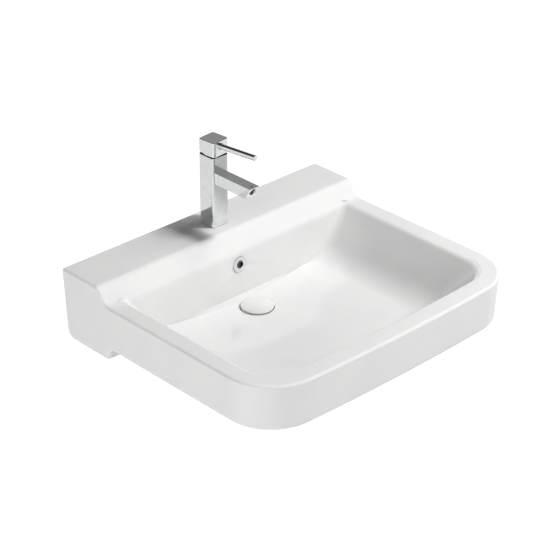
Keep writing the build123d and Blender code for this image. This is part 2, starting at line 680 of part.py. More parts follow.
# Tap body: column and spout in one casting
with BuildPart() as tap_body:
    with BuildSketch(level(0, TAP_Y, BASE_Z)):
        RectangleRounded(TAP_SIDE, TAP_SIDE, TAP_CORNER_R)
    extrude(amount=BODY_TOP - BASE_Z)
    chamfer(tap_body.faces().sort_by(Axis.Z)[-1].edges(), 0.5)
    with BuildSketch(Plane.YZ):
        with BuildLine():
            Polyline(
                (TAP_Y, SPOUT_BOTTOM_Z),
                (TAP_Y, SPOUT_TOP_Z),
                (SPOUT_TIP_Y, SPOUT_TOP_Z),
                (SPOUT_TIP_Y + SPOUT_HEIGHT * END_SLOPE, SPOUT_BOTTOM_Z),
                close=True,
            )
        make_face()
    extrude(amount=SPOUT_WIDTH / 2, both=True)
    spout_end = tap_body.faces().sort_by(Axis.Y)[0]
    chamfer(spout_end.edges(), 0.6)
    with BuildSketch(level(0, TAP_Y, BODY_TOP)):
        Circle(CARTRIDGE_R + SLIP)
    extrude(amount=-POCKET_DEPTH, mode=Mode.SUBTRACT)
    with BuildSketch(level(0, TAP_Y, BODY_TOP)):
        Circle(NUT_R + SLIP)
    extrude(amount=-NUT_POCKET, mode=Mode.SUBTRACT)
    with BuildSketch(AERATOR_PLANE.offset(AERATOR_DEPTH)):
        Circle(AERATOR_R + SLIP)
    extrude(amount=-2 * AERATOR_DEPTH, mode=Mode.SUBTRACT)
    with BuildSketch(Plane(origin=(0, OUTLET_Y, SPOUT_MIDDLE_Z + 1), x_dir=(1, 0, 0), z_dir=(0, -1, 0))):
        Circle(WATERWAY_R)
    extrude(amount=OUTLET_Y - AERATOR_PLANE.origin.Y, mode=Mode.SUBTRACT)
    with BuildSketch(level(0, OUTLET_Y, POCKET_Z)):
        Circle(CHANNEL_R)
    extrude(amount=SPOUT_MIDDLE_Z - POCKET_Z, mode=Mode.SUBTRACT)
    with BuildSketch(level(0, INLET_Y, BASE_Z)):
        with GridLocations(INLET_SPACING, 0, 2, 1):
            Circle(INLET_R)
    extrude(amount=INLET_DEPTH, mode=Mode.SUBTRACT)
    with BuildSketch(level(0, INLET_Y, BASE_Z)):
        with GridLocations(INLET_SPACING, 0, 2, 1):
            Circle(SUPPLY_R)
    extrude(amount=POCKET_Z - PORT_FLOOR - BASE_Z, mode=Mode.SUBTRACT)
    with BuildSketch(level(0, INLET_Y, POCKET_Z)):
        with GridLocations(PORT_SPACING, 0, 2, 1):
            Circle(CHANNEL_R)
    extrude(amount=-PORT_FLOOR - FIT, mode=Mode.SUBTRACT)
    with BuildSketch(level(0, STUD_Y, BASE_Z)):
        Circle(STUD_R + SLIP)
    extrude(amount=STUD_SOCKET, mode=Mode.SUBTRACT)
tap_body.part.label = "tap_body"
export_step(tap_body.part, "parts/tap_body.step")

# Aerator in the spout's slanted end
ring(
    "aerator_housing",
    AERATOR_PLANE.offset(AERATOR_SEAL - AERATOR_DEPTH),
    AERATOR_R,
    AERATOR_R - AERATOR_WALL,
    AERATOR_DEPTH - AERATOR_SEAL + AERATOR_PROUD,
)
ring(
    "aerator_seal",
    AERATOR_PLANE.offset(-AERATOR_DEPTH),
    AERATOR_R,
    AERATOR_R - 2 * AERATOR_WALL,
    AERATOR_SEAL,
)
with BuildPart() as aerator_insert:
    with BuildSketch(AERATOR_PLANE.offset(AERATOR_SEAL - AERATOR_DEPTH)):
        Circle(AERATOR_R - AERATOR_WALL)
        with PolarLocations(AERATOR_R * 0.5, 8):
            Circle(0.9, mode=Mode.SUBTRACT)
    extrude(amount=AERATOR_DEPTH - AERATOR_SEAL - AERATOR_PROUD)
aerator_insert.part.label = "aerator_insert"
export_step(aerator_insert.part, "parts/aerator_insert.step")

# Tap fixing: gasket, stud, horseshoe washers and nut
PAD_R = 24.0
PAD_THICKNESS = 2.0
PLATE_THICKNESS = 2.0
PAD_SLOT_WIDTH = 30.0
UNDER_LEDGE_Z = LEDGE_Z - LEDGE_THICKNESS
PAD_Z = UNDER_LEDGE_Z - PAD_THICKNESS
PLATE_Z = PAD_Z - PLATE_THICKNESS
STUD_NUT_FLATS = 13.0
STUD_NUT_HEIGHT = 12.0
STUD_LENGTH = 56.0

with BuildPart() as base_gasket:
    with BuildSketch(level(0, TAP_Y, LEDGE_Z)):
        RectangleRounded(TAP_SIDE - 2, TAP_SIDE - 2, TAP_CORNER_R - 1)
        Circle(TAP_HOLE_R - 1, mode=Mode.SUBTRACT)
    extrude(amount=BASE_GASKET)
base_gasket.part.label = "base_gasket"
export_step(base_gasket.part, "parts/base_gasket.step")

with BuildPart() as fixing_stud:
    with BuildSketch(level(0, STUD_Y, BASE_Z + STUD_SOCKET)):
        Circle(STUD_R)
    extrude(amount=-STUD_LENGTH)
fixing_stud.part.label = "fixing_stud"
export_step(fixing_stud.part, "parts/fixing_stud.step")


def horseshoe(label, base_z, thickness):
    """A round washer open towards the wall, so that the hoses pass beside the stud."""
    with BuildPart() as washer:
        with BuildSketch(level(0, TAP_Y, base_z)):
            Circle(PAD_R)
            with Locations((0, STUD_Y - TAP_Y)):
                Circle(STUD_R + SLIP, mode=Mode.SUBTRACT)
            with Locations((0, INLET_Y - TAP_Y - INLET_R - 1)):
                Rectangle(
                    PAD_SLOT_WIDTH,
                    2 * PAD_R,
                    align=(Align.CENTER, Align.MIN),
                    mode=Mode.SUBTRACT,
                )
        extrude(amount=thickness)
    washer.part.label = label
    export_step(washer.part, f"parts/{label}.step")


horseshoe("horseshoe_pad", PAD_Z, PAD_THICKNESS)
horseshoe("horseshoe_plate", PLATE_Z, PLATE_THICKNESS)

with BuildPart() as stud_nut:
    with BuildSketch(level(0, STUD_Y, PLATE_Z)):
        RegularPolygon(STUD_NUT_FLATS / 2, 6, major_radius=False)
        Circle(STUD_R + SLIP, mode=Mode.SUBTRACT)
    extrude(amount=-STUD_NUT_HEIGHT)
stud_nut.part.label = "stud_nut"
export_step(stud_nut.part, "parts/stud_nut.step")

# Cartridge: seals, base, ceramic discs, housing, rotor and spindle
PORT_SEAL = 0.8
CARTRIDGE_BASE = 3.2
DISC_THICKNESS = 3.5
MOVING_DISC = 4.0
MOVING_DISC_R = 7.2
CARTRIDGE_WALL = 1.7
HOUSING_R = CARTRIDGE_R - CARTRIDGE_WALL
CARTRIDGE_BASE_Z = POCKET_Z + PORT_SEAL
FIXED_DISC_Z = CARTRIDGE_BASE_Z + CARTRIDGE_BASE
MOVING_DISC_Z = FIXED_DISC_Z + DISC_THICKNESS + SLIP / 2
HOUSING_TOP = BODY_TOP - NUT_POCKET + 1.0
HOUSING_ROOF = 3.0
ROTOR_R = HOUSING_R - RUNNING
ROTOR_NECK_R = 6.7
ROTOR_Z = MOVING_DISC_Z + MOVING_DISC + RUNNING
ROTOR_TOP = HOUSING_TOP - HOUSING_ROOF - RUNNING
SPINDLE_SIDE = 6.0
SPINDLE_FOOT_R = 2.4
PIVOT_Z = ROTOR_Z + 8.0
SPINDLE_FOOT_Z = MOVING_DISC_Z + 2.2
SLOT_REACH = 5.4
PIN_R = 1.5

HANDLE_TURN = radians(HANDLE_REST_TURN)
ACROSS = Vector(cos(HANDLE_TURN), sin(HANDLE_TURN), 0)
ALONG = Vector(sin(HANDLE_TURN), -cos(HANDLE_TURN), 0)


def turned(z, forward=0.0):
    """A level plane turned with the handle; its Y axis runs back to the wall."""
    origin = Vector(0, TAP_Y, z) + ALONG * forward
    return Plane(origin=origin, x_dir=ACROSS, z_dir=(0, 0, 1))


def facing(z, forward=0.0):
    """An upright plane that faces the way the lever points."""
    origin = Vector(0, TAP_Y, z) + ALONG * forward
    return Plane(origin=origin, x_dir=ACROSS, z_dir=ALONG)


PORTS = (
    (PORT_SPACING / 2, INLET_Y - TAP_Y),
    (-PORT_SPACING / 2, INLET_Y - TAP_Y),
    (0, OUTLET_Y - TAP_Y),
)

with BuildPart() as port_seals:
    with BuildSketch(level(0, TAP_Y, POCKET_Z)):
        with Locations(*PORTS):
            Circle(CHANNEL_R + 0.9)
            Circle(CHANNEL_R, mode=Mode.SUBTRACT)
    extrude(amount=PORT_SEAL)
port_seals.part.label = "port_seals"
export_step(port_seals.part, "parts/port_seals.step")

with BuildPart() as cartridge_base:
    with BuildSketch(level(0, TAP_Y, CARTRIDGE_BASE_Z)):
        Circle(CARTRIDGE_R)
        with Locations(*PORTS):
            Circle(CHANNEL_R, mode=Mode.SUBTRACT)
    extrude(amount=CARTRIDGE_BASE)
cartridge_base.part.label = "cartridge_base"
export_step(cartridge_base.part, "parts/cartridge_base.step")

with BuildPart() as fixed_disc:
    with BuildSketch(level(0, TAP_Y, FIXED_DISC_Z)):
        Circle(HOUSING_R - SLIP)
        with Locations(*PORTS):
            Circle(CHANNEL_R * 0.7, mode=Mode.SUBTRACT)
    extrude(amount=DISC_THICKNESS)
fixed_disc.part.label = "fixed_disc"
export_step(fixed_disc.part, "parts/fixed_disc.step")

with BuildPart() as moving_disc:
    with BuildSketch(turned(MOVING_DISC_Z)):
        Circle(MOVING_DISC_R)
    extrude(amount=MOVING_DISC)
    with BuildSketch(turned(MOVING_DISC_Z + MOVING_DISC)):
        Circle(SPINDLE_FOOT_R + 0.9)
    extrude(amount=-MOVING_DISC + 1.4, mode=Mode.SUBTRACT)
moving_disc.part.label = "moving_disc"
export_step(moving_disc.part, "parts/moving_disc.step")

with BuildPart() as cartridge_housing:
    with BuildSketch(level(0, TAP_Y, FIXED_DISC_Z)):
        Circle(CARTRIDGE_R)
    extrude(amount=HOUSING_TOP - FIXED_DISC_Z)
    with BuildSketch(level(0, TAP_Y, FIXED_DISC_Z)):
        Circle(HOUSING_R)
    extrude(amount=HOUSING_TOP - HOUSING_ROOF - FIXED_DISC_Z, mode=Mode.SUBTRACT)
    with BuildSketch(level(0, TAP_Y, FIXED_DISC_Z)):
        Circle(ROTOR_NECK_R + RUNNING)
    extrude(amount=HOUSING_TOP - FIXED_DISC_Z, mode=Mode.SUBTRACT)
cartridge_housing.part.label = "cartridge_housing"
export_step(cartridge_housing.part, "parts/cartridge_housing.step")

ring("cartridge_nut", level(0, TAP_Y, HOUSING_TOP), NUT_R, NUT_BORE_R, NUT_THICKNESS)

with BuildPart() as cartridge_rotor:
    with BuildSketch(turned(ROTOR_Z)):
        Circle(ROTOR_R)
    extrude(amount=ROTOR_TOP - ROTOR_Z)
    with BuildSketch(turned(ROTOR_Z)):
        Circle(ROTOR_NECK_R)
    extrude(amount=HOUSING_TOP + 1 - ROTOR_Z)
    with BuildSketch(turned(ROTOR_Z)):
        Rectangle(SPINDLE_SIDE + 2 * RUNNING, 2 * SLOT_REACH)
    extrude(amount=HOUSING_TOP + 1 - ROTOR_Z, mode=Mode.SUBTRACT)
    with BuildSketch(Plane(origin=(0, TAP_Y, PIVOT_Z), x_dir=(0, 0, 1), z_dir=ACROSS)):
        Circle(PIN_R + SLIP / 2)
    extrude(amount=ROTOR_R, both=True, mode=Mode.SUBTRACT)
cartridge_rotor.part.label = "cartridge_rotor"
export_step(cartridge_rotor.part, "parts/cartridge_rotor.step")

with BuildPart() as pivot_pin:
    with BuildSketch(Plane(origin=(0, TAP_Y, PIVOT_Z), x_dir=(0, 0, 1), z_dir=ACROSS)):
        Circle(PIN_R)
    extrude(amount=ROTOR_R - 1, both=True)
pivot_pin.part.label = "pivot_pin"
export_step(pivot_pin.part, "parts/pivot_pin.step")

# Handle: block, spindle, lever, collar, set screw and cover
HANDLE_Z = BODY_TOP + SEAM_GAP
HANDLE_TOP = HANDLE_Z + HANDLE_HEIGHT
HANDLE_WALL = 4.2
HANDLE_CROWN = 16.0
SOCKET_DEPTH = 5.5
SOCKET_Z = HANDLE_TOP - HANDLE_CROWN
SPINDLE_TOP = SOCKET_Z + SOCKET_DEPTH
LEVER_Z = LEDGE_Z + LEVER_HEIGHT
LEVER_THREAD_R = 3.0
LEVER_THREAD = 8.0
COLLAR_R = LEVER_R + 1.2
COLLAR_THICKNESS = 2.6
SCREW_R = 2.5
SCREW_Z = SOCKET_Z + 3.2
COVER_R = 3.0
COVER_THICKNESS = 1.2
LEVER_TILT = radians(LEVER_RISE)
LEVER_START = TAP_SIDE / 2 + SLIP + COLLAR_R * sin(LEVER_TILT)
LEVER_AXIS = Vector(
    ALONG.X * cos(LEVER_TILT),
    ALONG.Y * cos(LEVER_TILT),
    sin(LEVER_TILT),
)


def on_lever(along):
    """A plane square to the lever, a distance along it from the tap's axis."""
    origin = Vector(0, TAP_Y, LEVER_Z) + LEVER_AXIS * along
    return Plane(origin=origin, x_dir=ACROSS, z_dir=LEVER_AXIS)


with BuildPart() as handle_block:
    with BuildSketch(turned(HANDLE_Z)):
        RectangleRounded(TAP_SIDE, TAP_SIDE, TAP_CORNER_R)
    extrude(amount=HANDLE_HEIGHT)
    fillet(handle_block.faces().sort_by(Axis.Z)[-1].edges(), 0.8)
    with BuildSketch(turned(HANDLE_Z)):
        RectangleRounded(TAP_SIDE - 2 * HANDLE_WALL, TAP_SIDE - 2 * HANDLE_WALL, TAP_CORNER_R - 2)
    extrude(amount=HANDLE_HEIGHT - HANDLE_CROWN, mode=Mode.SUBTRACT)
    relief_plane = Plane(origin=(0, TAP_Y, HANDLE_Z), x_dir=ALONG * -1, z_dir=ACROSS)
    with BuildSketch(relief_plane):
        with BuildLine():
            Polyline(
                (0, -1),
                (0, 0),
                (TAP_SIDE / 2 + 1, HANDLE_RELIEF * (1 + 2 / TAP_SIDE)),
                (TAP_SIDE / 2 + 1, -1),
                close=True,
            )
        make_face()
    extrude(amount=TAP_SIDE, both=True, mode=Mode.SUBTRACT)
    with BuildSketch(turned(SOCKET_Z)):
        Rectangle(SPINDLE_SIDE + 2 * SLIP, SPINDLE_SIDE + 2 * SLIP)
    extrude(amount=SOCKET_DEPTH + SLIP, mode=Mode.SUBTRACT)
    with BuildSketch(on_lever(LEVER_START + 1)):
        Circle(LEVER_THREAD_R + SLIP)
    extrude(amount=-LEVER_THREAD - 1 - SLIP, mode=Mode.SUBTRACT)
    with BuildSketch(facing(SCREW_Z, -TAP_SIDE / 2 - 1)):
        Circle(SCREW_R + SLIP)
    extrude(amount=TAP_SIDE / 2 + 1 - SPINDLE_SIDE / 2, mode=Mode.SUBTRACT)
    with BuildSketch(facing(SCREW_Z, -TAP_SIDE / 2 - 1)):
        Circle(COVER_R + SLIP)
    extrude(amount=COVER_THICKNESS + 1, mode=Mode.SUBTRACT)
handle_block.part.label = "handle_block"
export_step(handle_block.part, "parts/handle_block.step")

with BuildPart() as spindle:
    with BuildSketch(turned(SPINDLE_FOOT_Z)):
        Circle(SPINDLE_FOOT_R)
    extrude(amount=ROTOR_Z + 2 - SPINDLE_FOOT_Z)
    with BuildSketch(turned(ROTOR_Z + 2)):
        Rectangle(SPINDLE_SIDE, SPINDLE_SIDE)
    extrude(amount=SPINDLE_TOP - ROTOR_Z - 2)
    with BuildSketch(Plane(origin=(0, TAP_Y, PIVOT_Z), x_dir=(0, 0, 1), z_dir=ACROSS)):
        Circle(PIN_R + SLIP / 2)
    extrude(amount=ROTOR_R, both=True, mode=Mode.SUBTRACT)
spindle.part.label = "spindle"
export_step(spindle.part, "parts/spindle.step")

with BuildPart() as lever_rod:
    with BuildSketch(on_lever(LEVER_START)):
        Circle(LEVER_R)
    extrude(amount=LEVER_REACH - LEVER_START)
    lever_tip = lever_rod.edges().filter_by(GeomType.CIRCLE).sort_by(Axis.Y)[0]
    fillet(lever_tip, 1.2)
    with BuildSketch(on_lever(LEVER_START)):
        Circle(LEVER_THREAD_R)
    extrude(amount=-LEVER_THREAD)
lever_rod.part.label = "lever_rod"
export_step(lever_rod.part, "parts/lever_rod.step")

ring("lever_collar", on_lever(LEVER_START), COLLAR_R, LEVER_R + SLIP, COLLAR_THICKNESS)

with BuildPart() as set_screw:
    with BuildSketch(facing(SCREW_Z, -TAP_SIDE / 2 + COVER_THICKNESS + 0.5)):
        Circle(SCREW_R)
        RegularPolygon(SCREW_R * 0.5, 6, mode=Mode.SUBTRACT)
    extrude(amount=2.5)
    with BuildSketch(facing(SCREW_Z, -TAP_SIDE / 2 + COVER_THICKNESS + 3.0)):
        Circle(SCREW_R)
    extrude(amount=TAP_SIDE / 2 - COVER_THICKNESS - 3.0 - SPINDLE_SIDE / 2 - SLIP)
set_screw.part.label = "set_screw"
export_step(set_screw.part, "parts/set_screw.step")

with BuildPart() as screw_cover:
    with BuildSketch(facing(SCREW_Z, -TAP_SIDE / 2)):
        Circle(COVER_R)
    extrude(amount=COVER_THICKNESS)
screw_cover.part.label = "screw_cover"
export_step(screw_cover.part, "parts/screw_cover.step")
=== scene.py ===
"""Looks of a wall-hung basin with a square chrome mixer and a push-open waste.

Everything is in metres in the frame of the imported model: the origin is on the
wall midway between the fixing holes, +Z is up and the front faces -Y.
"""

import logging
import math
from dataclasses import dataclass, field
from enum import Enum

import bpy
from mathutils import Matrix, Vector


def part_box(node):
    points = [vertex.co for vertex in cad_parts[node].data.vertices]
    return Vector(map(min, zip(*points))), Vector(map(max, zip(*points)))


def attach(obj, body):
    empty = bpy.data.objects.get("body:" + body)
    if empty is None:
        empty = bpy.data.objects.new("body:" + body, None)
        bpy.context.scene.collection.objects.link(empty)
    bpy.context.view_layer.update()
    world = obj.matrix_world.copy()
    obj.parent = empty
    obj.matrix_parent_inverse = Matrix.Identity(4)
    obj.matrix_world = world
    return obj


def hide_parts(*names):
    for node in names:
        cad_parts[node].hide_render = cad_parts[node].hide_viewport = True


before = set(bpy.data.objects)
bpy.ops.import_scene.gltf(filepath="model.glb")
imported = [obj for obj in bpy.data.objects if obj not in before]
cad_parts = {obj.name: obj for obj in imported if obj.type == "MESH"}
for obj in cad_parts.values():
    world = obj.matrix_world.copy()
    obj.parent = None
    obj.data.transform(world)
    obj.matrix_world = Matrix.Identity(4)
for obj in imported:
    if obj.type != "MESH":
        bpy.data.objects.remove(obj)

LOG = logging.getLogger("basin")
MM = 0.001
SMOOTH_DEG = 32.0
WELD_MM = 0.002
EDGE_FACES = 3
# nearly all of a noise's values lie between these
NOISE_LOW = 0.3
NOISE_HIGH = 0.7
# the Mix node's sockets for colours, which share their names with those for numbers
MIX_SHARE = 0
MIX_FIRST = 6
MIX_SECOND = 7
MIX_RESULT = 2

Socket = bpy.types.NodeSocket


def linear(code: str) -> tuple[float, float, float, float]:
    """Turns an sRGB hex colour into linear light.

    Args:
        code: six hex digits, such as "ededec".

    Returns:
        Red, green, blue and an alpha of 1.
    """
    parts = [int(code[i : i + 2], 16) / 255 for i in (0, 2, 4)]
    light = [c / 12.92 if c <= 0.04045 else ((c + 0.055) / 1.055) ** 2.4 for c in parts]
    return (light[0], light[1], light[2], 1.0)


def add_node(
    tree: bpy.types.NodeTree,
    kind: str,
    inputs: dict | None = None,
    **settings: object,
) -> bpy.types.Node:
    """Adds one node with its settings and fills or links its inputs.

    Args:
        tree: the node tree of a material or world.
        kind: the node's type.
        inputs: values or output sockets by input name or number.
        settings: the node's own properties.

    Returns:
        The new node.
    """
    node = tree.nodes.new(kind)
    for name, value in settings.items():
        setattr(node, name, value)
    for key, value in (inputs or {}).items():
        if isinstance(value, bpy.types.NodeSocket):
            tree.links.new(value, node.inputs[key])
        else:
            node.inputs[key].default_value = value
    return node


class Surface:
    """The node tree of one material, with the patterns that the finishes share."""

    def __init__(self, name: str) -> None:
        """Starts an empty material.

        Args:
            name: the material's name.
        """
        self.material = bpy.data.materials.new(name)
        self.material.use_nodes = True
        self.tree = self.material.node_tree
        self.tree.nodes.clear()
        self.place = add_node(self.tree, "ShaderNodeTexCoord").outputs["Object"]

    def noise(self, size_mm: float, detail: float = 2.0) -> Socket:
        """Soft cloudy noise.

        Args:
            size_mm: the size of one cloud.
            detail: how many finer layers it has.

        Returns:
            The noise from 0 to 1.
        """
        inputs = {"Vector": self.place, "Scale": 1 / (size_mm * MM), "Detail": detail}
        return add_node(self.tree, "ShaderNodeTexNoise", inputs).outputs["Fac"]

    def spread(
        self,
        value: Socket,
        low: float,
        high: float,
        start: float = NOISE_LOW,
        end: float = NOISE_HIGH,
    ) -> Socket:
        """Maps a pattern to a range of values.

        Args:
            value: the pattern.
            low: the result at start.
            high: the result at end.
            start: the pattern's lower end.
            end: the pattern's upper end.

        Returns:
            The mapped value.
        """
        inputs = {
            "Value": value,
            "From Min": start,
            "From Max": end,
            "To Min": low,
            "To Max": high,
        }
        return add_node(self.tree, "ShaderNodeMapRange", inputs).outputs["Result"]

    def blend(
        self, share: Socket, first: tuple | Socket, second: tuple | Socket
    ) -> Socket:
        """Mixes two colours.

        Args:
            share: 0 gives the first and 1 the second.
            first: a colour or a socket.
            second: a colour or a socket.

        Returns:
            The mixed colour.
        """
        inputs = {MIX_SHARE: share, MIX_FIRST: first, MIX_SECOND: second}
        node = add_node(self.tree, "ShaderNodeMix", inputs, data_type="RGBA")
        return node.outputs[MIX_RESULT]

    def relief(
        self, height: Socket, depth_mm: float, under: Socket | None = None
    ) -> Socket:
        """Turns a pattern into bumps.

        Args:
            height: the pattern.
            depth_mm: how deep it is from 0 to 1.
            under: bumps that these lie on.

        Returns:
            The bumped normal.
        """
        inputs = {"Height": height, "Distance": depth_mm * MM, "Strength": 1.0}
        if under is not None:
            inputs["Normal"] = under
        return add_node(self.tree, "ShaderNodeBump", inputs).outputs["Normal"]

    def shade(self, **sockets: object) -> bpy.types.Material:
        """Ends the material in a Principled shader.

        Args:
            sockets: the shader's inputs, with _ for a space in a name.

        Returns:
            The finished material.
        """
        inputs = {name.replace("_", " "): value for name, value in sockets.items()}
        shader = add_node(self.tree, "ShaderNodeBsdfPrincipled", inputs)
        add_node(self.tree, "ShaderNodeOutputMaterial", {"Surface": shader.outputs["BSDF"]})
        return self.material


@dataclass(frozen=True)
class GlazedChina:
    """Vitreous china: slip-cast and fired with a thick white glaze.

    The glaze gives clear reflections that waver a little over an opaque white. The
    bare clay at the wall is matt and sandy.

    Attributes:
        name: the material's name.
        glaze: the glaze's colour.
        pooled: its colour where it lies thicker.
        bare: the fired clay's colour.
        bare_speck: the clay's darker grains.
        roughness: the glaze's roughness.
        bare_roughness: the clay's roughness.
        ior: the glaze's refractive index.
        pool_mm: the size of the thicker patches.
        peel_mm: the size of the orange peel's waves.
        peel_depth_mm: their height.
        grain_mm: the clay's grain, drawn coarser than the real 0.1 mm so that it shows.
        grain_depth_mm: its height.
        wall_fade_mm: where the glaze starts to thin and where it ends, from the wall.
        has_wall_face: whether the piece has a bare face at the wall.
    """

    name: str = "glazed_china"
    glaze: str = "ececeb"
    pooled: str = "e8e9e8"
    bare: str = "d9d5cb"
    bare_speck: str = "c8c3b6"
    roughness: float = 0.07
    bare_roughness: float = 0.85
    ior: float = 1.54
    pool_mm: float = 60.0
    peel_mm: float = 9.0
    peel_depth_mm: float = 0.012
    grain_mm: float = 0.8
    grain_depth_mm: float = 0.15
    wall_fade_mm: tuple[float, float] = (-0.9, -0.3)
    has_wall_face: bool = True

    def material(self) -> bpy.types.Material:
        """Builds the glaze.

        Returns:
            The material.
        """
        surface = Surface(self.name)
        # the glaze lies a little thicker and cooler in slow clouds
        pooling = surface.spread(surface.noise(self.pool_mm), 0.0, 1.0)
        colour = surface.blend(pooling, linear(self.glaze), linear(self.pooled))
        # a fired glaze is almost flat, with a faint orange peel
        normal = surface.relief(surface.noise(self.peel_mm, detail=1.0), self.peel_depth_mm)
        if not self.has_wall_face:
            return surface.shade(
                Base_Color=colour, Roughness=self.roughness, IOR=self.ior, Normal=normal
            )
        split = add_node(surface.tree, "ShaderNodeSeparateXYZ", {"Vector": surface.place})
        start, end = (depth * MM for depth in self.wall_fade_mm)
        bare = surface.spread(split.outputs["Y"], 0.0, 1.0, start, end)
        grain = surface.noise(self.grain_mm, detail=4.0)
        clay = surface.blend(grain, linear(self.bare), linear(self.bare_speck))
        colour = surface.blend(bare, colour, clay)
        rough = surface.spread(bare, self.roughness, self.bare_roughness, 0.0, 1.0)
        biscuit = add_node(
            surface.tree, "ShaderNodeMath", {0: grain, 1: bare}, operation="MULTIPLY"
        ).outputs["Value"]
        normal = surface.relief(biscuit, self.grain_depth_mm, normal)
        return surface.shade(Base_Color=colour, Roughness=rough, IOR=self.ior, Normal=normal)


@dataclass(frozen=True)
class ChromePlate:
    """Bright chrome over brass: mirror polished, with a slight wave and dried water haze.

    Attributes:
        name: the material's name.
        tint: the clean plating's colour.
        haze: its colour under dried water.
        seat_mm: the height of the joint under the handle, whose level faces get a
            painted shade; 0 for a piece without it.
        painted_gap_shade: the near black painted on those faces as the shade in the gap.
        seat_reach_mm: how far from that height the painted shade fades out, from and to.
        seat_level: how level the faces with the painted shade are, as their normal's
            upright part, from and to.
        gloss: the roughness of the clean plating.
        dull: its roughness under dried water.
        haze_mm: the size of the dried patches.
        dried: the noise values between which the colour changes.
        dulled: the noise values between which the roughness changes.
        wave_mm: the length of the polishing waves.
        wave_depth_mm: their height.
    """

    name: str = "chrome_plate"
    tint: str = "f4f5f6"
    haze: str = "eceeef"
    seat_mm: float = 0.0
    painted_gap_shade: str = "0c0c0d"
    seat_reach_mm: tuple[float, float] = (0.2, 0.3)
    seat_level: tuple[float, float] = (0.85, 0.9)
    gloss: float = 0.035
    dull: float = 0.075
    haze_mm: float = 14.0
    dried: tuple[float, float] = (0.45, 0.75)
    dulled: tuple[float, float] = (0.4, 0.75)
    wave_mm: float = 26.0
    wave_depth_mm: float = 0.012

    def material(self) -> bpy.types.Material:
        """Builds the plating.

        Returns:
            The material.
        """
        surface = Surface(self.name)
        clouds = surface.noise(self.haze_mm, detail=5.0)
        # dried drops leave the mirror slightly soft in patches
        haze = surface.spread(clouds, 0.0, 1.0, *self.dried)
        colour = surface.blend(haze, linear(self.tint), linear(self.haze))
        rough = surface.spread(clouds, self.gloss, self.dull, *self.dulled)
        # hand polishing leaves faces about a hundredth of a millimetre out of flat
        waves = surface.noise(self.wave_mm, detail=0.0)
        normal = surface.relief(waves, self.wave_depth_mm)
        if not self.seat_mm:
            return surface.shade(Base_Color=colour, Metallic=1.0, Roughness=rough, Normal=normal)
        # painted shade: the level faces in the joint under the handle turn near black and fully
        # rough, standing in for the shadow in the gap
        painted_shade = self.painted_gap_shade_mask(surface)
        colour = surface.blend(painted_shade, colour, linear(self.painted_gap_shade))
        rough = add_node(
            surface.tree, "ShaderNodeMath", {0: rough, 1: painted_shade}, operation="MAXIMUM"
        ).outputs["Value"]
        return surface.shade(Base_Color=colour, Metallic=1.0, Roughness=rough, Normal=normal)

    def painted_gap_shade_mask(self, surface: Surface) -> Socket:
        """Finds the level faces at the joint under the handle, where the shade is painted.

        Args:
            surface: the material in the making.

        Returns:
            1 on those faces and 0 elsewhere.
        """
        tree = surface.tree
        place = add_node(tree, "ShaderNodeSeparateXYZ", {"Vector": surface.place})
        facing = add_node(tree, "ShaderNodeTexCoord").outputs["Normal"]
        slope = add_node(tree, "ShaderNodeSeparateXYZ", {"Vector": facing})
        away = add_node(
            tree,
            "ShaderNodeMath",
            {0: place.outputs["Z"], 1: self.seat_mm * MM},
            operation="SUBTRACT",
        ).outputs["Value"]
        away = add_node(tree, "ShaderNodeMath", {0: away}, operation="ABSOLUTE").outputs["Value"]
        level = add_node(
            tree, "ShaderNodeMath", {0: slope.outputs["Z"]}, operation="ABSOLUTE"
        ).outputs["Value"]
        start, end = (reach * MM for reach in self.seat_reach_mm)
        near = surface.spread(away, 1.0, 0.0, start, end)
        flat = surface.spread(level, 0.0, 1.0, *self.seat_level)
        return add_node(
            tree, "ShaderNodeMath", {0: near, 1: flat}, operation="MULTIPLY"
        ).outputs["Value"]


@dataclass(frozen=True)
class MachinedMetal:
    """Turned or milled metal: satin, with fine tool marks and a slightly uneven colour.

    Attributes:
        name: the material's name.
        colour: the metal's colour.
        worn: its colour where it has tarnished.
        roughness: its middle roughness.
        smoother: how much smoother the crests of the marks are.
        rougher: how much rougher the hollows are.
        mark_mm: the marks' width, drawn coarser than the real 0.1 mm so that they show.
        mark_stretch: how much longer they are round a piece than along its axis.
        mark_depth_mm: their depth.
        tarnish_mm: the size of the tarnished patches.
    """

    name: str
    colour: str
    worn: str
    roughness: float = 0.32
    smoother: float = 0.06
    rougher: float = 0.1
    mark_mm: float = 0.5
    mark_stretch: tuple[float, float, float] = (0.15, 0.15, 1.0)
    mark_depth_mm: float = 0.02
    tarnish_mm: float = 7.0

    def material(self) -> bpy.types.Material:
        """Builds the metal.

        Returns:
            The material.
        """
        surface = Surface(self.name)
        stretch = add_node(
            surface.tree,
            "ShaderNodeMapping",
            {"Vector": surface.place, "Scale": self.mark_stretch},
        )
        inputs = {
            "Vector": stretch.outputs["Vector"],
            "Scale": 1 / (self.mark_mm * MM),
            "Detail": 2.0,
        }
        marks = add_node(surface.tree, "ShaderNodeTexNoise", inputs).outputs["Fac"]
        tarnish = surface.spread(surface.noise(self.tarnish_mm, detail=3.0), 0.0, 1.0)
        colour = surface.blend(tarnish, linear(self.colour), linear(self.worn))
        rough = surface.spread(
            marks, self.roughness - self.smoother, self.roughness + self.rougher
        )
        normal = surface.relief(marks, self.mark_depth_mm)
        return surface.shade(Base_Color=colour, Metallic=1.0, Roughness=rough, Normal=normal)


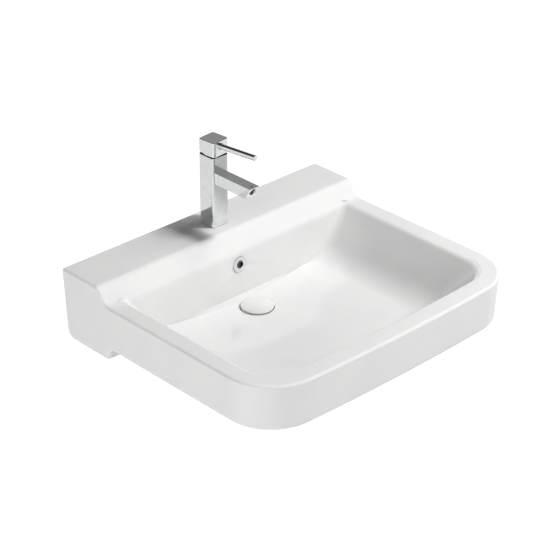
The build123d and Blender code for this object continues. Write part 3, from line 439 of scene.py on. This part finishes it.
@dataclass(frozen=True)
class Rubber:
    """Nitrile rubber: pressed in a mould, matt and near black, with a dusty bloom.

    Attributes:
        name: the material's name.
        colour: the rubber's colour.
        bloom: its colour under the dust.
        roughness: its roughness.
        bloom_mm: the size of the dusty patches.
        dusty: the noise values between which the dust starts.
        grain_mm: the mould's grain, drawn coarser than the real 0.1 mm.
        grain_depth_mm: its depth.
    """

    name: str = "nitrile_rubber"
    colour: str = "1c1c1e"
    bloom: str = "2b2b2d"
    roughness: float = 0.62
    bloom_mm: float = 3.0
    dusty: tuple[float, float] = (0.4, 0.8)
    grain_mm: float = 0.6
    grain_depth_mm: float = 0.02

    def material(self) -> bpy.types.Material:
        """Builds the rubber.

        Returns:
            The material.
        """
        surface = Surface(self.name)
        clouds = surface.noise(self.bloom_mm, detail=4.0)
        dust = surface.spread(clouds, 0.0, 1.0, *self.dusty)
        colour = surface.blend(dust, linear(self.colour), linear(self.bloom))
        normal = surface.relief(surface.noise(self.grain_mm), self.grain_depth_mm)
        return surface.shade(Base_Color=colour, Roughness=self.roughness, Normal=normal)


@dataclass(frozen=True)
class MouldedPlastic:
    """Acetal: injection moulded, satin, with the fine grain of an eroded mould.

    Attributes:
        name: the material's name.
        colour: the plastic's colour.
        shade_off: its colour where the melt flowed otherwise.
        roughness: its middle roughness.
        smoother: how much smoother the crests of the grain are.
        rougher: how much rougher the hollows are.
        ior: its refractive index.
        flow_mm: the size of the flow patches.
        grain_mm: the grain's size, drawn coarser than the real 0.05 mm so that it shows.
        grain_depth_mm: its depth.
    """

    name: str
    colour: str
    shade_off: str
    roughness: float = 0.42
    smoother: float = 0.05
    rougher: float = 0.08
    ior: float = 1.49
    flow_mm: float = 18.0
    grain_mm: float = 0.7
    grain_depth_mm: float = 0.015

    def material(self) -> bpy.types.Material:
        """Builds the plastic.

        Returns:
            The material.
        """
        surface = Surface(self.name)
        flow = surface.spread(surface.noise(self.flow_mm, detail=1.0), 0.0, 1.0)
        colour = surface.blend(flow, linear(self.colour), linear(self.shade_off))
        grain = surface.noise(self.grain_mm)
        rough = surface.spread(
            grain, self.roughness - self.smoother, self.roughness + self.rougher
        )
        normal = surface.relief(grain, self.grain_depth_mm)
        return surface.shade(Base_Color=colour, Roughness=rough, IOR=self.ior, Normal=normal)


@dataclass(frozen=True)
class LappedAlumina:
    """Alumina: sintered and lapped flat, satin and slightly creamy.

    Attributes:
        name: the material's name.
        colour: the ceramic's colour.
        shade_off: the colour of its darker grains.
        smooth: its lowest roughness.
        rough: its highest roughness.
        ior: its refractive index.
        grain_mm: the grain's size, drawn coarser than in life so that it shows.
    """

    name: str = "lapped_alumina"
    colour: str = "e6e2d6"
    shade_off: str = "dcd7c9"
    smooth: float = 0.2
    rough: float = 0.32
    ior: float = 1.7
    grain_mm: float = 0.4

    def material(self) -> bpy.types.Material:
        """Builds the ceramic.

        Returns:
            The material.
        """
        surface = Surface(self.name)
        grain = surface.noise(self.grain_mm, detail=3.0)
        colour = surface.blend(grain, linear(self.colour), linear(self.shade_off))
        rough = surface.spread(grain, self.smooth, self.rough)
        return surface.shade(Base_Color=colour, Roughness=rough, IOR=self.ior)


Finish = GlazedChina | ChromePlate | MachinedMetal | Rubber | MouldedPlastic | LappedAlumina

CHINA = GlazedChina()
# the cap is fired on its own and comes out a shade darker
CAP_CHINA = GlazedChina("cap_china", "e9e9e7", "e6e6e4", has_wall_face=False)
CHROME = ChromePlate()
# the column's plating, with painted shade on the level faces of the joint under the handle
COLUMN_CHROME_PAINTED_SHADE = ChromePlate("column_chrome_painted_shade", seat_mm=203.0)
# turned brass: warm yellow and satin
BRASS = MachinedMetal("turned_brass", "cfae62", "b8954c")
# zinc plating: a cool pale grey, a little duller
ZINC = MachinedMetal("zinc_plated_steel", "b4b6ba", "9c9ea3", 0.36)
# drawn wire: grey and brighter
SPRING_STEEL = MachinedMetal("spring_steel", "a9abae", "96989c", 0.25)
RUBBER = Rubber()
# the plastics differ in pigment, and the dark one has a finer mould
GREY_PLASTIC = MouldedPlastic("grey_acetal", "6c6e72", "64666a")
WHITE_PLASTIC = MouldedPlastic("white_acetal", "dfdfdc", "d8d8d4")
DARK_PLASTIC = MouldedPlastic("dark_acetal", "3a3c40", "33353a", 0.36)
ALUMINA = LappedAlumina()

# the materials built so far
MADE: dict[str, bpy.types.Material] = {}


def dress(piece: bpy.types.Object, finish: Finish) -> None:
    """Gives a piece one finish, built the first time it is asked for.

    Args:
        piece: the object to dress.
        finish: the finish.
    """
    if finish.name not in MADE:
        MADE[finish.name] = finish.material()
    piece.data.materials.clear()
    piece.data.materials.append(MADE[finish.name])


class Body(Enum):
    """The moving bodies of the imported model."""

    BASIN = "basin"
    PLUG = "plug"
    ROTOR = "rotor"
    DISC = "disc"
    HANDLE = "handle"


def pick(piece: bpy.types.Object) -> None:
    """Deselects everything and makes one piece the active one.

    Args:
        piece: the object that the next operators act on.
    """
    bpy.ops.object.select_all(action="DESELECT")
    piece.select_set(True)
    bpy.context.view_layer.objects.active = piece


def settle(piece: bpy.types.Object) -> None:
    """Applies a piece's place, turn and size to its mesh."""
    pick(piece)
    bpy.ops.object.transform_apply(location=True, rotation=True, scale=True)


def apply_modifier(piece: bpy.types.Object, kind: str, **settings: object) -> None:
    """Adds one modifier and applies it.

    Args:
        piece: the object to shape.
        kind: the modifier's type.
        settings: the modifier's own properties.
    """
    pick(piece)
    modifier = piece.modifiers.new(kind.lower(), kind)
    for name, value in settings.items():
        setattr(modifier, name, value)
    bpy.ops.object.modifier_apply(modifier=modifier.name)


def smooth(
    piece: bpy.types.Object, degrees: float = SMOOTH_DEG, flat_weight: int = 80
) -> None:
    """Shades a piece smooth except at its sharp edges, with flat faces kept flat.

    Args:
        piece: the object to shade.
        degrees: edges sharper than this stay sharp.
        flat_weight: how far large faces win over the small ones beside them.
    """
    pick(piece)
    bpy.ops.object.shade_smooth_by_angle(angle=math.radians(degrees))
    apply_modifier(piece, "WEIGHTED_NORMAL", keep_sharp=True, weight=flat_weight)


def merge_vertices(piece: bpy.types.Object, weld_mm: float = WELD_MM) -> None:
    """Joins a piece's vertices that lie on each other.

    Args:
        piece: the object to mend.
        weld_mm: vertices nearer than this become one.
    """
    pick(piece)
    bpy.ops.object.mode_set(mode="EDIT")
    bpy.ops.mesh.select_all(action="SELECT")
    bpy.ops.mesh.remove_doubles(threshold=weld_mm * MM)
    bpy.ops.object.mode_set(mode="OBJECT")


def merged_copy(node: str, name: str, weld_mm: float = WELD_MM) -> bpy.types.Object:
    """Copies a CAD node's mesh as one closed skin.

    Args:
        node: the CAD node.
        name: the copy's name.
        weld_mm: vertices nearer than this become one.

    Returns:
        The copy, standing where the node stands.
    """
    piece = bpy.data.objects.new(name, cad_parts[node].data.copy())
    bpy.context.scene.collection.objects.link(piece)
    merge_vertices(piece, weld_mm)
    return piece


def soften(
    piece: bpy.types.Object,
    width_mm: float,
    degrees: float = SMOOTH_DEG,
    flat_deg: float = 0.4,
) -> None:
    """Rounds a piece's sharp edges.

    Args:
        piece: a closed piece.
        width_mm: the width of the rounding.
        degrees: edges sharper than this are rounded.
        flat_deg: faces that meet flatter than this become one first.
    """
    pick(piece)
    bpy.ops.object.mode_set(mode="EDIT")
    bpy.ops.mesh.select_all(action="SELECT")
    bpy.ops.mesh.dissolve_limited(angle_limit=math.radians(flat_deg))
    bpy.ops.object.mode_set(mode="OBJECT")
    apply_modifier(
        piece,
        "BEVEL",
        width=width_mm * MM,
        segments=EDGE_FACES,
        limit_method="ANGLE",
        angle_limit=math.radians(degrees),
        use_clamp_overlap=True,
    )


def seat(piece: bpy.types.Object, body: Body, slot: str, finish: Finish, *nodes: str) -> None:
    """Makes a new piece part of the object.

    Args:
        piece: the finished piece.
        body: the body it rides on.
        slot: the name of its material slot; not used.
        finish: its finish.
        nodes: the CAD nodes that it stands for.
    """
    dress(piece, finish)
    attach(piece, body.value)
    if nodes:
        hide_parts(*nodes)
    LOG.info("%s: %d faces", piece.name, len(piece.data.polygons))


@dataclass(frozen=True)
class Thread:
    """A screw thread on the lower end of an upright tube or stud.

    Attributes:
        crest_mm: its outer radius.
        depth_mm: how far it stands out of its core.
        pitch_mm: the rise of one turn.
        gap_mm: how far below the nut it starts.
        run_out_mm: how much of the piece's lower end stays plain.
        rooted: how deep its ridge reaches, as a share of the depth, so that it sits
            in the core without a gap.
        half_width: half the ridge's width at its root, as a share of the pitch.
        steps: the faces of one turn.
        smooth_deg: its edges sharper than this stay sharp.
        shoulder_mm: the height of the step from the full size to the core.
        skin_mm: points nearer than this to the full size are moved to the core.
    """

    crest_mm: float
    depth_mm: float
    pitch_mm: float
    gap_mm: float
    run_out_mm: float
    rooted: float = 1.35
    half_width: float = 0.46
    steps: int = 40
    smooth_deg: float = 40.0
    shoulder_mm: float = 0.2
    skin_mm: float = 0.3

    def cut(
        self, piece: bpy.types.Object, name: str, axis: Vector, nut_z: float, end_z: float
    ) -> bpy.types.Object:
        """Turns a piece down below its nut and winds the thread on it.

        Args:
            piece: the tube or stud.
            name: the ridge's name.
            axis: any point on the piece's upright axis.
            nut_z: the height of the nut's lower face.
            end_z: the height of the piece's lower end.

        Returns:
            The ridge.
        """
        start = nut_z - self.gap_mm * MM
        self.turn_down(piece, axis, start)
        length_mm = (start - end_z) / MM - self.run_out_mm
        return self.wind(name, Vector((axis.x, axis.y, start)), length_mm)

    def turn_down(self, piece: bpy.types.Object, axis: Vector, below_z: float) -> None:
        """Turns a piece down to the thread's core below a height.

        Args:
            piece: the tube or stud.
            axis: any point on its upright axis.
            below_z: the height where the core starts.
        """
        pick(piece)
        bpy.ops.object.mode_set(mode="EDIT")
        for step in (0.0, self.shoulder_mm * MM):
            bpy.ops.mesh.select_all(action="SELECT")
            bpy.ops.mesh.bisect(plane_co=(axis.x, axis.y, below_z - step), plane_no=(0, 0, 1))
        bpy.ops.object.mode_set(mode="OBJECT")
        core_mm = self.crest_mm - self.depth_mm
        highest = below_z - self.shoulder_mm / 2 * MM
        nearest = (self.crest_mm - self.skin_mm) * MM
        for vertex in piece.data.vertices:
            out = Vector((vertex.co.x - axis.x, vertex.co.y - axis.y))
            if vertex.co.z < highest and out.length > nearest:
                out = out.normalized() * core_mm * MM
                vertex.co.x, vertex.co.y = axis.x + out.x, axis.y + out.y

    def wind(self, name: str, top: Vector, length_mm: float) -> bpy.types.Object:
        """Winds the thread's ridge downwards round an upright axis.

        Args:
            name: the ridge's name.
            top: where the thread starts, on its axis.
            length_mm: the threaded length.

        Returns:
            The ridge.
        """
        turns = int(length_mm / self.pitch_mm) - 1
        bpy.ops.object.select_all(action="DESELECT")
        bpy.ops.mesh.primitive_circle_add(vertices=3, radius=1.0, fill_type="NGON")
        ridge = bpy.context.active_object
        ridge.name = name
        root = (self.crest_mm - self.rooted * self.depth_mm) * MM
        half = self.half_width * self.pitch_mm * MM
        corners = ((root, half), (self.crest_mm * MM, 0.0), (root, -half))
        for vertex, (out, rise) in zip(ridge.data.vertices, corners):
            vertex.co = Vector((out, 0.0, rise))
        apply_modifier(
            ridge,
            "SCREW",
            axis="Z",
            angle=math.tau,
            screw_offset=-self.pitch_mm * MM,
            iterations=turns,
            steps=self.steps,
            render_steps=self.steps,
            use_smooth_shade=True,
        )
        ridge.location = top - Vector((0.0, 0.0, half))
        settle(ridge)
        merge_vertices(ridge)
        bpy.ops.object.mode_set(mode="EDIT")
        bpy.ops.mesh.select_all(action="SELECT")
        bpy.ops.mesh.normals_make_consistent(inside=False)
        bpy.ops.object.mode_set(mode="OBJECT")
        smooth(ridge, self.smooth_deg)
        return ridge


@dataclass
class BasinCasting:
    """The china body and the ring that lines its overflow.

    Attributes:
        crease_deg: the casting's edges sharper than this stay sharp.
        weld_mm: vertices of the casting nearer than this become one.
        ring_edge_mm: the rounding of the ring's edges.
    """

    crease_deg: float = 40.0
    weld_mm: float = 0.08
    ring_edge_mm: float = 0.25

    def build(self) -> None:
        """Builds the casting's skin and the ring."""
        body = merged_copy("basin_body", "basin_skin", self.weld_mm)
        smooth(body, self.crease_deg)
        seat(body, Body.BASIN, "glazed_ceramic", CHINA, "basin_body")
        ring = merged_copy("overflow_ring", "overflow_rim")
        soften(ring, self.ring_edge_mm)
        smooth(ring)
        seat(ring, Body.BASIN, "chrome", CHROME, "overflow_ring")


@dataclass
class Waste:
    """The push-open waste: cap, flange, threaded tube and backnut.

    Attributes:
        centre: a point on the waste's upright axis.
        thread: the pipe thread that takes the backnut and the trap.
        cap_deg: the cap's edges sharper than this stay sharp.
        nut_edge_mm: the rounding of the backnut's edges.
    """

    centre: Vector = field(default_factory=lambda: Vector((0.0, -0.165, 0.0)))
    thread: Thread = Thread(20.95, 1.3, 2.309, gap_mm=0.6, run_out_mm=1.0)
    cap_deg: float = 50.0
    nut_edge_mm: float = 0.9

    def build(self) -> None:
        """Builds the parts of the waste that can be seen."""
        cap = merged_copy("plug_cap", "waste_cap")
        smooth(cap, self.cap_deg)
        seat(cap, Body.PLUG, "cap_ceramic", CAP_CHINA, "plug_cap")

        low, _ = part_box("waste_body")
        nut_low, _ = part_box("waste_backnut")
        tube = merged_copy("waste_body", "waste_tube")
        ridge = self.thread.cut(tube, "waste_thread", self.centre, nut_low.z, low.z)
        smooth(tube)
        seat(tube, Body.BASIN, "chrome", CHROME, "waste_body")
        seat(ridge, Body.BASIN, "chrome", CHROME)

        nut = merged_copy("waste_backnut", "waste_hex_nut")
        soften(nut, self.nut_edge_mm)
        smooth(nut)
        seat(nut, Body.BASIN, "brass", BRASS, "waste_backnut")


@dataclass(frozen=True)
class ChromePart:
    """One chrome piece of the tap.

    Attributes:
        node: the CAD node that it stands for.
        name: the piece's name.
        body: the body it rides on.
        edge_mm: the rounding of its edges.
        finish: its plating.
    """

    node: str
    name: str
    body: Body
    edge_mm: float
    finish: ChromePlate = CHROME


@dataclass
class Tap:
    """The mixer's column and spout, its aerator and its turning handle.

    Attributes:
        edge_deg: edges sharper than this are rounded.
        parts: the pieces.
    """

    edge_deg: float = 50.0
    parts: tuple[ChromePart, ...] = (
        ChromePart("tap_body", "mixer_column", Body.BASIN, 0.35, COLUMN_CHROME_PAINTED_SHADE),
        ChromePart("handle_block", "mixer_cap", Body.HANDLE, 0.35),
        ChromePart("lever_rod", "mixer_lever", Body.HANDLE, 0.2),
        ChromePart("lever_collar", "mixer_lever_ring", Body.HANDLE, 0.3),
        ChromePart("aerator_housing", "aerator_rim", Body.BASIN, 0.25),
        ChromePart("screw_cover", "screw_cap", Body.HANDLE, 0.15),
    )

    def build(self) -> None:
        """Builds the chrome pieces with rounded edges."""
        for part in self.parts:
            piece = merged_copy(part.node, part.name)
            soften(piece, part.edge_mm, self.edge_deg)
            smooth(piece)
            seat(piece, part.body, "chrome", part.finish, part.node)


@dataclass
class Fixing:
    """The stud and nut that hold the mixer from below the ledge.

    Attributes:
        thread: the stud's thread.
        nut_edge_mm: the rounding of the nut's edges.
    """

    thread: Thread = Thread(4.0, 0.6, 1.25, gap_mm=0.3, run_out_mm=0.8)
    nut_edge_mm: float = 0.5

    def build(self) -> None:
        """Builds the threaded stud and its nut."""
        low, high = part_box("fixing_stud")
        nut_low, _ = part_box("stud_nut")
        stud = merged_copy("fixing_stud", "mixer_stud")
        ridge = self.thread.cut(stud, "stud_thread", (low + high) / 2, nut_low.z, low.z)
        smooth(stud)
        seat(stud, Body.BASIN, "steel", ZINC, "fixing_stud")
        seat(ridge, Body.BASIN, "steel", ZINC)
        nut = merged_copy("stud_nut", "mixer_hex_nut")
        soften(nut, self.nut_edge_mm)
        smooth(nut)
        seat(nut, Body.BASIN, "brass", BRASS, "stud_nut")


@dataclass
class InnerParts:
    """The CAD nodes whose own shapes are shown.

    Attributes:
        finishes: each node's finish and material slot.
    """

    finishes: dict[str, tuple[Finish, str]] = field(
        default_factory=lambda: {
            "plug_carrier": (CHROME, "chrome"),
            "plug_seal": (RUBBER, "black_rubber"),
            "plug_plunger": (WHITE_PLASTIC, "white_plastic"),
            "click_housing": (BRASS, "brass"),
            "click_spring": (SPRING_STEEL, "steel"),
            "waste_upper_seal": (RUBBER, "black_rubber"),
            "waste_lower_seal": (RUBBER, "black_rubber"),
            "waste_slip_ring": (WHITE_PLASTIC, "white_plastic"),
            "aerator_insert": (DARK_PLASTIC, "grey_insert"),
            "aerator_seal": (RUBBER, "black_rubber"),
            "base_gasket": (RUBBER, "black_rubber"),
            "horseshoe_pad": (RUBBER, "black_rubber"),
            "horseshoe_plate": (ZINC, "steel"),
            "port_seals": (RUBBER, "black_rubber"),
            "cartridge_base": (GREY_PLASTIC, "grey_plastic"),
            "fixed_disc": (ALUMINA, "disc_ceramic"),
            "moving_disc": (ALUMINA, "disc_ceramic"),
            "cartridge_housing": (GREY_PLASTIC, "grey_plastic"),
            "cartridge_nut": (BRASS, "brass"),
            "cartridge_rotor": (GREY_PLASTIC, "grey_plastic"),
            "pivot_pin": (ZINC, "steel"),
            "spindle": (ZINC, "steel"),
            "set_screw": (ZINC, "steel"),
        }
    )

    def build(self) -> None:
        """Dresses each node."""
        for node, (finish, slot) in self.finishes.items():
            dress(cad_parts[node], finish)
        LOG.info("inner parts: %d nodes", len(self.finishes))


@dataclass(frozen=True)
class Softbox:
    """A soft area lamp that bright surfaces don't show.

    Attributes:
        name: the lamp's name.
        place: where it stands.
        size: the length of its sides.
        power: its watts.
    """

    name: str
    place: tuple[float, float, float]
    size: float
    power: float

    def build(self, target: Vector) -> None:
        """Hangs the lamp.

        Args:
            target: the point that it faces.
        """
        lamp = bpy.data.lights.new(self.name, "AREA")
        lamp.shape = "SQUARE"
        lamp.size = self.size
        lamp.energy = self.power
        holder = bpy.data.objects.new(self.name, lamp)
        bpy.context.scene.collection.objects.link(holder)
        holder.location = self.place
        aim = target - Vector(self.place)
        holder.rotation_euler = aim.to_track_quat("-Z", "Y").to_euler()
        holder.visible_glossy = False


@dataclass
class Studio:
    """The plain floor, the white surroundings, the lamps and the camera.

    Attributes:
        floor_z: the floor's height.
        floor_size: the length of its sides.
        floor_paint: its colour in the light that it throws back on the object.
        floor_shadow: how much of a shadow it shows to the eye.
        floor_in_mirror: how bright it is in bright surfaces.
        ambient: the strength of the surroundings as a light.
        ceiling: the tone that bright surfaces show of the surroundings, by the upright
            part of the direction.
        target: the point in the middle of the picture.
        azimuth: the camera's turn, in degrees.
        elevation: its angle above the level, in degrees.
        roll: its tilt, in degrees.
        distance: its distance from the target.
        lens: its focal length in millimetres.
        sensor: its sensor's width in millimetres.
        farthest: how far it sees.
        lamps: the lamps.
    """

    floor_z: float = -0.80
    floor_size: float = 16.0
    floor_paint: str = "e8e8e8"
    floor_shadow: str = "8a8a8a"
    floor_in_mirror: float = 0.62
    ambient: float = 0.05
    target: Vector = field(default_factory=lambda: Vector((-0.016812, -0.240, 0.033116)))
    azimuth: float = -44.01
    elevation: float = 29.08
    roll: float = 0.406
    distance: float = 3.31684
    lens: float = 124.80
    sensor: float = 36.0
    farthest: float = 100.0
    ceiling: tuple[tuple[float, str], ...] = (
        (0.12, "ffffff"),
        (0.3, "c8c8c8"),
        (0.42, "8c8c8c"),
        (0.56, "808080"),
        (0.66, "2c2c2c"),
        (1.0, "303030"),
    )
    lamps: tuple[Softbox, ...] = (
        Softbox("key", (1.43, -1.62, 2.52), 0.5, 81.0),
        Softbox("left", (-3.17, -0.52, 0.36), 1.8, 54.0),
        Softbox("front", (-0.28, -3.41, 0.36), 1.8, 22.0),
        Softbox("right", (2.03, -0.60, 2.48), 1.4, 28.0),
    )

    def surroundings(self) -> None:
        """Makes the world white to the eye, banded to bright surfaces and dim as a light."""
        world = bpy.data.worlds.new("surroundings")
        bpy.context.scene.world = world
        world.use_nodes = True
        tree = world.node_tree
        tree.nodes.clear()
        rays = add_node(tree, "ShaderNodeLightPath")
        clear = add_node(
            tree,
            "ShaderNodeMath",
            {0: rays.outputs["Is Camera Ray"], 1: rays.outputs["Is Transmission Ray"]},
            operation="MAXIMUM",
        ).outputs["Value"]
        # bright surfaces show a white horizon that darkens towards the zenith
        way = add_node(tree, "ShaderNodeTexCoord").outputs["Generated"]
        height = add_node(tree, "ShaderNodeSeparateXYZ", {"Vector": way}).outputs["Z"]
        ramp = add_node(tree, "ShaderNodeValToRGB", {"Fac": height})
        stops = ramp.color_ramp.elements
        for stop, (position, tone) in zip(stops, (self.ceiling[0], self.ceiling[-1])):
            stop.position, stop.color = position, linear(tone)
        for position, tone in self.ceiling[1:-1]:
            stops.new(position).color = linear(tone)
        inputs = {
            MIX_SHARE: rays.outputs["Is Glossy Ray"],
            MIX_FIRST: (self.ambient,) * 3 + (1.0,),
            MIX_SECOND: ramp.outputs["Color"],
        }
        lit = add_node(tree, "ShaderNodeMix", inputs, data_type="RGBA").outputs[MIX_RESULT]
        inputs = {MIX_SHARE: clear, MIX_FIRST: lit, MIX_SECOND: linear("ffffff")}
        shown = add_node(tree, "ShaderNodeMix", inputs, data_type="RGBA").outputs[MIX_RESULT]
        sky = add_node(tree, "ShaderNodeBackground", {"Color": shown, "Strength": 1.0})
        add_node(tree, "ShaderNodeOutputWorld", {"Surface": sky.outputs["Background"]})

    def floor(self) -> None:
        """Lays the pale floor, which keeps the shadow and shows white to the eye."""
        bpy.ops.object.select_all(action="DESELECT")
        bpy.ops.mesh.primitive_plane_add(size=self.floor_size, location=(0, 0, self.floor_z))
        floor = bpy.context.active_object
        floor.name = "floor"
        surface = Surface("floor_paint")
        tree = surface.tree
        rays = add_node(tree, "ShaderNodeLightPath")
        seen = rays.outputs["Is Camera Ray"]
        for name in ("Is Glossy Ray", "Is Transmission Ray"):
            seen = add_node(
                tree, "ShaderNodeMath", {0: seen, 1: rays.outputs[name]}, operation="MAXIMUM"
            ).outputs["Value"]
        paint = add_node(tree, "ShaderNodeBsdfDiffuse", {"Color": linear(self.floor_paint)})
        shadow = add_node(tree, "ShaderNodeBsdfDiffuse", {"Color": linear(self.floor_shadow)})
        glossy = rays.outputs["Is Glossy Ray"]
        strength = surface.spread(glossy, 1.0, self.floor_in_mirror, 0.0, 1.0)
        inputs = {"Color": linear("ffffff"), "Strength": strength}
        glow = add_node(tree, "ShaderNodeEmission", inputs)
        lifted = add_node(
            tree,
            "ShaderNodeAddShader",
            {0: shadow.outputs["BSDF"], 1: glow.outputs["Emission"]},
        )
        top = add_node(
            tree,
            "ShaderNodeMixShader",
            {0: seen, 1: paint.outputs["BSDF"], 2: lifted.outputs["Shader"]},
        )
        # from below the floor is clear, so that the underside can be looked at
        side = add_node(tree, "ShaderNodeNewGeometry")
        clear = add_node(tree, "ShaderNodeBsdfTransparent")
        both = add_node(
            tree,
            "ShaderNodeMixShader",
            {0: side.outputs["Backfacing"], 1: top.outputs["Shader"], 2: clear.outputs["BSDF"]},
        )
        add_node(tree, "ShaderNodeOutputMaterial", {"Surface": both.outputs["Shader"]})
        floor.data.materials.append(surface.material)

    def camera(self) -> None:
        """Sets the camera at the photograph's viewing angle."""
        angles = (self.azimuth, self.elevation, self.roll)
        turn, rise, roll = (math.radians(angle) for angle in angles)
        back = Vector(
            (math.sin(turn) * math.cos(rise), -math.cos(turn) * math.cos(rise), math.sin(rise))
        )
        right = Vector((math.cos(turn), math.sin(turn), 0.0))
        up = back.cross(right)
        tilted_right = right * math.cos(roll) + up * math.sin(roll)
        tilted_up = up * math.cos(roll) - right * math.sin(roll)
        lens = bpy.data.cameras.new("view")
        lens.lens = self.lens
        lens.sensor_width = self.sensor
        lens.clip_end = self.farthest
        holder = bpy.data.objects.new("view", lens)
        bpy.context.scene.collection.objects.link(holder)
        turned = Matrix((tilted_right, tilted_up, back)).transposed().to_4x4()
        holder.matrix_world = Matrix.Translation(self.target + back * self.distance) @ turned
        bpy.context.scene.camera = holder

    def build(self) -> None:
        """Builds the whole studio."""
        bpy.context.scene.view_settings.view_transform = "Standard"
        self.surroundings()
        self.floor()
        self.camera()
        for lamp in self.lamps:
            lamp.build(self.target)


def main() -> None:
    """Builds every sub-assembly in order."""
    logging.basicConfig(level=logging.INFO, format="%(message)s")
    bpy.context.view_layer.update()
    for part in (BasinCasting(), Waste(), Tap(), Fixing(), InnerParts(), Studio()):
        part.build()
        LOG.info("built %s", type(part).__name__)
    bpy.context.view_layer.update()


if __name__ == "__main__":
    main()
